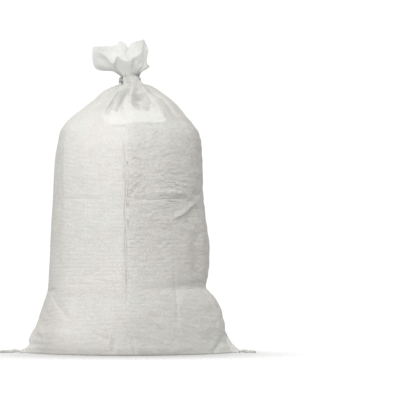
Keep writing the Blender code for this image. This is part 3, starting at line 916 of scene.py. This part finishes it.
def pleats(grid):
    """Pleats that run out from the neck, rounded on top and sharp between."""
    heights = grid[:, :, 2]
    coarse_size, fine_size = smooth_at(PLEAT_STATIONS, heights.ravel())
    from_front = np.angle(np.exp(1j * (neck_angles() - FRONT_DIRECTION)))
    beside = 1 - FRONT_PLEATS_LOST * np.exp(-(from_front / FRONT_HALF_ANGLE) ** 2)
    above = FINE_ABOVE_TIE + (1 - FINE_ABOVE_TIE) * beside
    fine_share = np.where(heights < NECK_BOTTOM, beside, above)
    coarse = coarse_size.reshape(heights.shape) * pleat_waves(COARSE_PLEATS, COARSE_UNEVENNESS) * beside
    return coarse + fine_size.reshape(heights.shape) * pleat_waves(FINE_PLEATS, FINE_UNEVENNESS) * fine_share


def cover_pleat(grid):
    """The loose pleats over the front of the tie."""
    directions, low, high = np.array(COVER_STATIONS).T
    turn = np.degrees(neck_angles())
    heights = grid[:, :, 2]
    above_low = limited((heights - np.interp(turn, directions, low)) / COVER_FOOT)
    below_high = limited((np.interp(turn, directions, high) - heights) / COVER_HEAD)
    skirt = COVER_SKIRT * np.exp(-((heights - NECK_BOTTOM) / SKIRT_REACH) ** 2)
    return (COVER_HEIGHT + skirt) * eased(np.minimum(above_low, below_high))


def crumple(grid):
    """Small dents and bumps at a few sizes, the same every time."""
    moved = np.zeros(grid.shape[:2])
    for size, depth in CRUMPLES:
        for place in np.ndindex(moved.shape):
            moved[place] += depth * noise.noise(Vector(grid[place] / size))
    right = limited(grid[:, :, 0] / DENTS_FADE) * limited((CREASED_TOP - grid[:, :, 2]) / DENTS_FADE)
    for across, up, depth in RIGHT_CRUMPLES:
        for place in zip(*np.nonzero(right)):
            x, y, z = grid[place]
            dent = noise.noise(Vector((x / across, y / across, (z + DENTS_SLANT * x) / up)))
            moved[place] += depth * right[place] * dent
    return moved


def sack_grid():
    """Rings of the sack's outer surface from the hem under it to the rim of its mouth, with its folds."""
    rings = base_rings() + body_rings() + neck_rings()
    mouth_start = len(rings)
    grid = np.array(rings + mouth_rings())
    moved = sum(change(grid) for change in (front_folds, back_folds, facets, pleats, cover_pleat, crumple))
    moved[:BASE_ROWS] = 0.0
    settle = limited(grid[:, :, 2] / SETTLED_HEIGHT)
    grid = grid + normals_of(grid) * (moved * settle)[:, :, None]
    grid[:, :, 2] = np.maximum(grid[:, :, 2], LOWEST_CLOTH)
    return grid, mouth_start


def inside_by(across, up, outline):
    """How far each point is inside a closed outline, and below zero outside it."""
    outline = np.array(outline, float)
    inside = np.zeros(across.shape, bool)
    nearest = np.full(across.shape, np.inf)
    for start, end in zip(outline, np.roll(outline, -1, axis=0)):
        step = end - start
        from_x, from_y = across - start[0], up - start[1]
        crosses = (start[1] > up) != (end[1] > up)
        # Nothing crosses a level side, so any rise does for it.
        rise = step[1] or 1.0
        inside ^= crosses & (across < start[0] + from_y / rise * step[0])
        share = limited((from_x * step[0] + from_y * step[1]) / (step @ step))
        nearest = np.minimum(nearest, np.hypot(from_x - share * step[0], from_y - share * step[1]))
    return np.where(inside, nearest, -nearest)


def emptiness(grid):
    """How far each point is from having powder behind it, from 0 to 1."""
    across, up = photo_place(grid)
    panel = PANEL_EMPTINESS * limited(0.5 + inside_by(across, up, SMOOTH_PANEL) / PANEL_EDGE)
    above = limited((grid[:, :, 2] - NECK_BOTTOM) / GATHER_HEIGHT)
    beside = limited((np.abs(grid[:, :, 0]) - EAR_FROM) / EAR_FADE) * (grid[:, :, 2] < EAR_TOP)
    return np.maximum(np.maximum(above, panel), EAR_EMPTINESS * beside)


def sharp_creases(grid):
    """Distance in pixels from the nearest sharp crease, below zero on one side of it, and its depth there."""
    across, up = photo_place(grid)
    nearest = np.full(across.shape, NO_CREASE)
    depth = np.zeros(across.shape)
    for route, size in SHARP_CREASES:
        away, share = beside_route(across, up, route)
        closer = np.abs(away) < np.abs(nearest)
        nearest = np.where(closer, away, nearest)
        depth = np.where(closer, size * end_fade(share), depth)
    depth *= limited((CREASE_REACH - np.abs(nearest)) / CREASE_FADE)
    depth[:, COLUMNS // 2 + 1:] = 0.0
    return nearest, depth


def rumpled(grid):
    """How much each point belongs to the right half of the front, which is the most creased, from 0 to 1."""
    rightwards = limited((grid[:, :, 0] - RUMPLED_FROM) / RUMPLED_SIDE_FADE)
    below_shoulder = limited((CREASED_TOP - grid[:, :, 2]) / RUMPLED_TOP_FADE)
    return rightwards * below_shoulder * limited((grid[:, :, 2] - RUMPLED_FOOT) / RUMPLED_FOOT_FADE)


def sack_faces(rows, along):
    """Faces between the rings and over both ends, and the place of each corner on the flat cloth."""
    faces, places = [], []
    column_width = 2 * FLAT_WIDTH / COLUMNS
    for row in range(rows - 1):
        low, high = row * COLUMNS, (row + 1) * COLUMNS
        foot, head = along[row:row + 2]
        for column in range(COLUMNS):
            after = (column + 1) % COLUMNS
            faces.append((low + column, low + after, high + after, high + column))
            left, right = column * column_width, (column + 1) * column_width
            places += [(left, foot), (right, foot), (right, head), (left, head)]
    for start, upward in ((0, False), ((rows - 1) * COLUMNS, True)):
        for column in range(COLUMNS // 2):
            corners = [start + column, start + (COLUMNS - column) % COLUMNS,
                       start + COLUMNS - column - 1, start + column + 1]
            corners = list(dict.fromkeys(corners))
            faces.append(tuple(corners[::-1] if upward else corners))
            places += [(0.0, along[0])] * len(corners)
    return faces, places


def add_values(data, name, values):
    layer = data.attributes.new(name, "FLOAT", "POINT")
    layer.data.foreach_set("value", values.ravel().astype(np.float32))


def make_sack(surface):
    """The whole fabric as one closed mesh: outside, over the rim, and down the inside of the mouth."""
    outside, mouth_start = sack_grid()
    inside = (outside - normals_of(outside) * MOUTH_WALL)[:mouth_start - 1:-1]
    grid = np.concatenate([outside, inside])
    along = running_total(np.linalg.norm(np.diff(grid, axis=0), axis=2).mean(axis=1))
    faces, places = sack_faces(len(grid), along)
    made = add_mesh("sack_fabric", grid.reshape(-1, 3), faces, surface)
    layer = made.data.uv_layers.new(name="cloth")
    layer.data.foreach_set("uv", np.array(places, np.float32).ravel())
    crease_distance, crease_depth = sharp_creases(grid)
    add_values(made.data, "empty", emptiness(grid))
    add_values(made.data, "rumpled", rumpled(grid))
    add_values(made.data, "crease_distance", crease_distance)
    add_values(made.data, "crease_depth", crease_depth)
    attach(made, "root")
    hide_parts("sack", "cement")


# Twine and thread

def make_neck_tie(surface):
    """The windings round the neck, the two loops of the knot, and its two ends."""
    middle = (NECK_BOTTOM + NECK_TOP) / 2
    radius = NECK_RADIUS + TWINE_CLEARANCE + TWINE_DIAMETER / 2
    turns = np.linspace(0, TWINE_TURNS, TWINE_TURNS * TURN_STEPS + 1)
    angle = KNOT_ANGLE + math.tau * turns
    heights = middle + TWINE_PITCH * (turns - TWINE_TURNS / 2)
    lines = [np.column_stack([radius * np.cos(angle), radius * np.sin(angle), heights])]
    outward = np.array([math.cos(KNOT_ANGLE), math.sin(KNOT_ANGLE), 0.0])
    sideways = np.array([-outward[1], outward[0], 0.0])
    upward = np.array([0.0, 0.0, 1.0])
    seat = outward * (NECK_RADIUS + TWINE_CLEARANCE + KNOT_SEAT) + upward * middle
    turn = np.linspace(*KNOT_LOOP_TURN, KNOT_LOOP_STEPS)[:, None]
    for tilt in (-1, 1):
        across = (sideways + KNOT_LOOP_SLANT * tilt * outward) * KNOT_LOOP_RADIUS
        lines.append(seat + across * np.cos(turn) * tilt + upward * KNOT_LOOP_RISE * np.sin(turn) * tilt)
    ends = [seat + (sideways * across + outward * away - upward * down) * KNOT_END_LENGTH
            for across, away, down in KNOT_END_ROUTE]
    lines.append(through(ends, KNOT_END_STEPS))
    tubes = []
    for line in lines:
        tubes += strands_round(line, TWINE_STRANDS, TWINE_STRAND_RADIUS, TWINE_STRAND_OFFSET, TWINE_LAY)
    tie = object_from("neck_twine", tubes, surface)
    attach(tie, "root")
    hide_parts("neck_tie")


def make_tail(name, node, route, surface):
    points = through(route, TAIL_STEPS)
    share = np.linspace(0, 1, len(points))
    tubes = []
    for strand in range(THREAD_STRANDS):
        wave = np.sin(math.tau * (LOOSE_WAVES * share + LOOSE_WAVE_STEP * strand))
        loose = THREAD_LOOSE * (LOOSE_MEAN + LOOSE_SWING * wave)
        offset = THREAD_DIAMETER * (THREAD_LAID + loose * limited(share / LOOSE_FROM))[:, None]
        tubes += strands_round(points, 1, THREAD_STRAND_RADIUS, offset, THREAD_LAY,
                               phase=math.tau * strand / THREAD_STRANDS, lowest=THREAD_STRAND_RADIUS)
    tail = object_from(name, tubes, surface)
    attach(tail, "root")
    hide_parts(node)


# Materials

class Nodes:
    """Short ways to add nodes to one tree."""

    def __init__(self, tree):
        self.tree = tree

    def fill(self, node, values):
        """Set inputs of a node, each to a number or colour or to another node's output."""
        for name, value in values.items():
            if isinstance(value, bpy.types.NodeSocket):
                self.tree.links.new(value, node.inputs[name])
            else:
                node.inputs[name].default_value = value

    def add(self, kind, output, values, **settings):
        """One output of a new node."""
        node = self.tree.nodes.new(kind)
        for name, setting in settings.items():
            setattr(node, name, setting)
        self.fill(node, values)
        return node.outputs[output]

    def place(self, output="Object"):
        return self.add("ShaderNodeTexCoord", output, {})

    def attribute(self, name):
        return self.add("ShaderNodeAttribute", "Fac", {}, attribute_name=name)

    def axes(self, vector):
        node = self.tree.nodes.new("ShaderNodeSeparateXYZ")
        self.fill(node, {0: vector})
        return node.outputs

    def math(self, operation, *values):
        return self.add("ShaderNodeMath", 0, dict(enumerate(values)), operation=operation)

    def product(self, first, *others):
        for other in others:
            first = self.math("MULTIPLY", first, other)
        return first

    def vector_math(self, operation, *values, output="Vector"):
        return self.add("ShaderNodeVectorMath", output, dict(enumerate(values)), operation=operation)

    def scaled(self, colour, factor):
        return self.add("ShaderNodeVectorMath", "Vector", {0: colour, "Scale": factor}, operation="SCALE")

    def spread(self, value, low, high, new_low, new_high, kind="LINEAR"):
        """A value between the first two numbers as one between the last two."""
        return self.add("ShaderNodeMapRange", "Result", {
            "Value": value, "From Min": low, "From Max": high, "To Min": new_low, "To Max": new_high,
        }, interpolation_type=kind)

    def mix(self, share, first, second):
        values = {"Factor": share, "A": first, "B": second}
        return self.add("ShaderNodeMix", "Result", values, data_type="RGBA")

    def noise(self, place, scale, detail, roughness):
        return self.add("ShaderNodeTexNoise", "Fac", {
            "Vector": place, "Scale": scale, "Detail": detail, "Roughness": roughness,
        })

    def random(self, *values):
        """A random number for each value, or for each pair of values."""
        if len(values) == 1:
            return self.add("ShaderNodeTexWhiteNoise", "Value", {"W": values[0]}, noise_dimensions="1D")
        pair = self.add("ShaderNodeCombineXYZ", 0, dict(enumerate(values)))
        return self.add("ShaderNodeTexWhiteNoise", "Value", {"Vector": pair}, noise_dimensions="2D")

    def bump(self, height, distance, strength, **under):
        values = {"Height": height, "Distance": distance, "Strength": strength}
        return self.add("ShaderNodeBump", "Normal", {**values, **under})


def new_material(name):
    """A material, its nodes, and its surface shader."""
    material = bpy.data.materials.new(name)
    material.use_nodes = True
    return material, Nodes(material.node_tree), material.node_tree.nodes["Principled BSDF"]


def tape_edge(nodes, across):
    """Full over most of a tape's width, and thin at both of its edges."""
    from_middle = nodes.math("ABSOLUTE", nodes.math("SUBTRACT", across, 0.5))
    return nodes.spread(nodes.math("POWER", nodes.product(from_middle, 2.0), EDGE_POWER), *EDGE_HEIGHTS)


def weave(nodes):
    """The numbers of the two tapes at each point, which of them is on top, and the height of the surface."""
    place = nodes.axes(nodes.add("ShaderNodeUVMap", "UV", {}, uv_map="cloth"))
    tapes = [nodes.product(place[axis], 1 / TAPE_WIDTH) for axis in ("X", "Y")]
    numbers = [nodes.math("FLOOR", tape) for tape in tapes]
    across = [nodes.math("FRACT", tape) for tape in tapes]
    on_top = nodes.math("COSINE", nodes.product(nodes.math("ADD", *numbers), math.pi))
    heights = []
    for tape, crossed, half_turn in ((0, 1, math.pi), (1, 0, -math.pi)):
        rise = nodes.product(on_top, nodes.math("SINE", nodes.product(across[crossed], half_turn)))
        heights.append(nodes.product(rise, tape_edge(nodes, across[tape])))
    return numbers, on_top, nodes.math("MAXIMUM", *heights)


def cloth_bumps(nodes, place, weave_height):
    """Sharp creases, fine creases and the weave, one over the other."""
    from_crease = nodes.product(nodes.attribute("crease_distance"), 1 / CREASE_HALF_WIDTH)
    valley = nodes.math("EXPONENT", nodes.product(from_crease, from_crease, -1.0))
    sharp = nodes.bump(nodes.product(valley, nodes.attribute("crease_depth")), -CREASE_DEPTH, 1.0)
    creases = nodes.noise(nodes.vector_math("MULTIPLY", place, CREASE_STRETCH), *CREASE_NOISE)
    rumples = nodes.product(creases, nodes.spread(nodes.attribute("rumpled"), *RUMPLED_SHARE))
    return nodes.bump(weave_height, *WEAVE_BUMP, Normal=nodes.bump(rumples, *CREASE_BUMP, Normal=sharp))


def woven_material():
    """Plain weave of flat tapes, each a little different in tone, with painted shade in its hollows, painted
    sheen and shade from crossing to crossing, painted shade and light by place, sharp creases and a fine
    grain.
    """
    material, nodes, surface = new_material("woven_polypropylene")
    numbers, on_top, height = weave(nodes)
    place = nodes.place()
    broad, patches, grain = (nodes.noise(place, *kind) for kind in (BROAD_NOISE, PATCH_NOISE, GRAIN_NOISE))
    empty = nodes.attribute("empty")
    mottle = nodes.math("ADD", nodes.product(broad, BROAD_SHARE), nodes.product(patches, 1 - BROAD_SHARE))
    # the empty cloth's tint is whiter, and partly painted light
    tint = nodes.mix(empty, nodes.mix(nodes.spread(mottle, *MOTTLE_SHARE), *FILLED_TINTS), EMPTY_PAINTED_LIGHT_TINT)
    tones = [
        nodes.spread(nodes.math("ADD", *map(nodes.random, numbers)), *TAPE_TONES),
        # painted shade in the weave's hollows
        nodes.spread(height, *HOLLOW_SHADE_TONES),
        nodes.spread(nodes.random(*numbers), *CROSSING_TONES),
        # painted sheen and shade, from one crossing to the next
        nodes.spread(on_top, *TAPE_SHEEN_TONES),
        nodes.spread(patches, *PATCH_TONES),
    ]
    axes = nodes.axes(place)
    # painted shade on the right half, the left side and the foot, and painted light on the hem's left corner
    tones += [nodes.spread(axes[axis], *change) for axis, *change in PAINTED_SHADE_AND_LIGHT]
    filled = nodes.math("SUBTRACT", 1.0, nodes.product(empty, TONE_LOST))
    tone = nodes.math("ADD", 1.0, nodes.product(nodes.math("SUBTRACT", nodes.product(*tones), 1.0), filled))
    nodes.fill(surface, {
        "Base Color": nodes.scaled(tint, tone),
        "Roughness": nodes.spread(grain, *CLOTH_ROUGHNESS),
        "Specular IOR Level": CLOTH_GLOSS,
        "Subsurface Weight": nodes.spread(empty, *GLOWS_BETWEEN, 0.0, THIN_CLOTH_GLOW),
        "Subsurface Radius": (1.0, 1.0, 1.0),
        "Subsurface Scale": THIN_CLOTH_DEPTH,
        "Normal": cloth_bumps(nodes, place, height),
    })
    return material


def fibre_material(name, light, dark, rate):
    """Twisted fibres, painted lighter on their ridges and with painted shade between them."""
    material, nodes, surface = new_material(name)
    fibres = nodes.noise(nodes.place(), rate, *FIBRE_NOISE)
    nodes.fill(surface, {
        # painted light on the fibres' ridges, painted shade between them
        "Base Color": nodes.mix(nodes.spread(fibres, *FIBRE_SHARE), dark, light),
        "Roughness": FIBRE_ROUGHNESS,
        "Specular IOR Level": FIBRE_GLOSS,
        "Normal": nodes.bump(fibres, *FIBRE_BUMP),
    })
    return material


# Studio

def make_floor():
    bpy.ops.mesh.primitive_plane_add(size=FLOOR_SIZE, location=FLOOR_MIDDLE)
    floor = bpy.context.object
    floor.name = "floor"
    material, nodes, surface = new_material("studio_floor")
    away = nodes.vector_math("DIVIDE", nodes.place(), FLOOR_REACH)
    distance = nodes.vector_math("LENGTH", away, output="Value")
    nodes.fill(surface, {
        "Base Color": (FLOOR_TONE, FLOOR_TONE, FLOOR_TONE, 1.0),
        "Roughness": FLOOR_ROUGHNESS,
        "Specular IOR Level": FLOOR_GLOSS,
        "Alpha": nodes.spread(distance, FLOOR_FADE, 1.0, 1.0, 0.0, "SMOOTHSTEP"),
    })
    floor.data.materials.append(material)


def make_world():
    """A soft white room. The camera sees it as plain white."""
    world = bpy.data.worlds.new("studio")
    bpy.context.scene.world = world
    world.use_nodes = True
    nodes = Nodes(world.node_tree)
    shown = world.node_tree.nodes["Background"]
    nodes.fill(shown, {"Strength": SHOWN_WHITE, "Color": (1.0, 1.0, 1.0, 1.0)})
    facing = nodes.vector_math("DOT_PRODUCT", nodes.place("Generated"), SKY_DIRECTION, output="Value")
    glow = nodes.spread(facing, 0.0, 1.0, ROOM_LOW, ROOM_HIGH, "SMOOTHSTEP")
    room = nodes.add("ShaderNodeBackground", 0, {"Color": ROOM_COLOUR, "Strength": glow})
    seen = nodes.add("ShaderNodeLightPath", "Is Camera Ray", {})
    mixed = nodes.add("ShaderNodeMixShader", 0, {0: seen, 1: room, 2: shown.outputs[0]})
    nodes.fill(world.node_tree.nodes["World Output"], {"Surface": mixed})


def make_key_light():
    data = bpy.data.lights.new("key", "SUN")
    data.energy = KEY_STRENGTH
    data.angle = KEY_SOFTNESS
    light = add_object("key", data)
    light.rotation_euler = Vector(KEY_DIRECTION).to_track_quat("Z", "Y").to_euler()


def make_studio():
    make_floor()
    make_world()
    make_key_light()
    bpy.context.scene.view_settings.view_transform = "Standard"
    bpy.context.scene.view_settings.look = "None"


def main():
    make_camera()
    thread = fibre_material("hem_thread", *THREAD_COLOURS, THREAD_FIBRES)
    make_tail("hem_thread_left", "hem_thread_tail_left", LEFT_TAIL_ROUTE, thread)
    make_tail("hem_thread_right", "hem_thread_tail_right", RIGHT_TAIL_ROUTE, thread)
    make_sack(woven_material())
    make_neck_tie(fibre_material("twine", *TWINE_COLOURS, TWINE_FIBRES))
    make_studio()


main()
